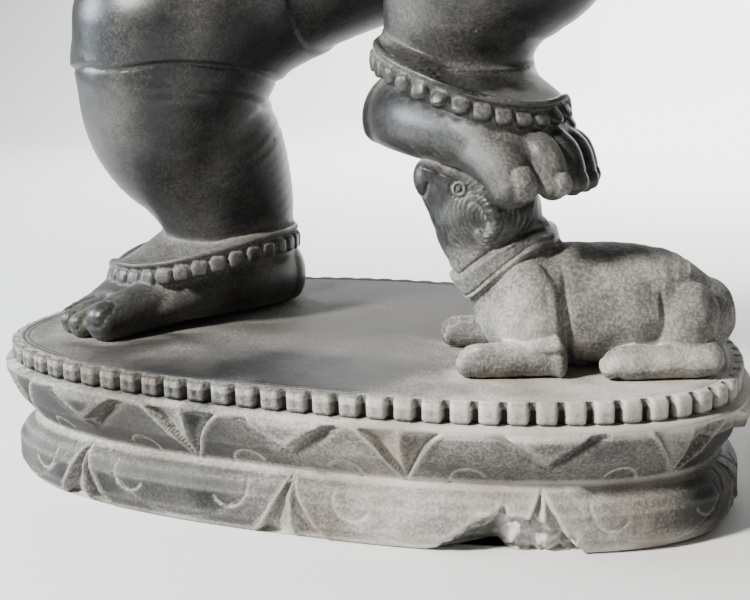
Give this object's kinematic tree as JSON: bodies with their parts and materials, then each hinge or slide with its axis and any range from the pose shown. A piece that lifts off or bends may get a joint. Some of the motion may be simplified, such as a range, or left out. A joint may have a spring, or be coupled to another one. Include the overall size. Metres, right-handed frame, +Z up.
{
  "type": "dancing ganesha statue",
  "caption": "Carved stone dancing elephant-headed figure on an oval lotus plinth, one leg raised onto the head of a lying mouse.",
  "frame": {"origin": "middle of the plinth's flat underside", "axes": "+Z up, through the plinth to the crown; -Y towards the viewer; +X to the side where the mouse lies"},
  "size_m": [0.9979, 0.6545, 1.4417],
  "materials": {
    "stone": "satin"
  },
  "bodies": {
    "root": {"statue": "stone"}
  },
  "joints": []
}
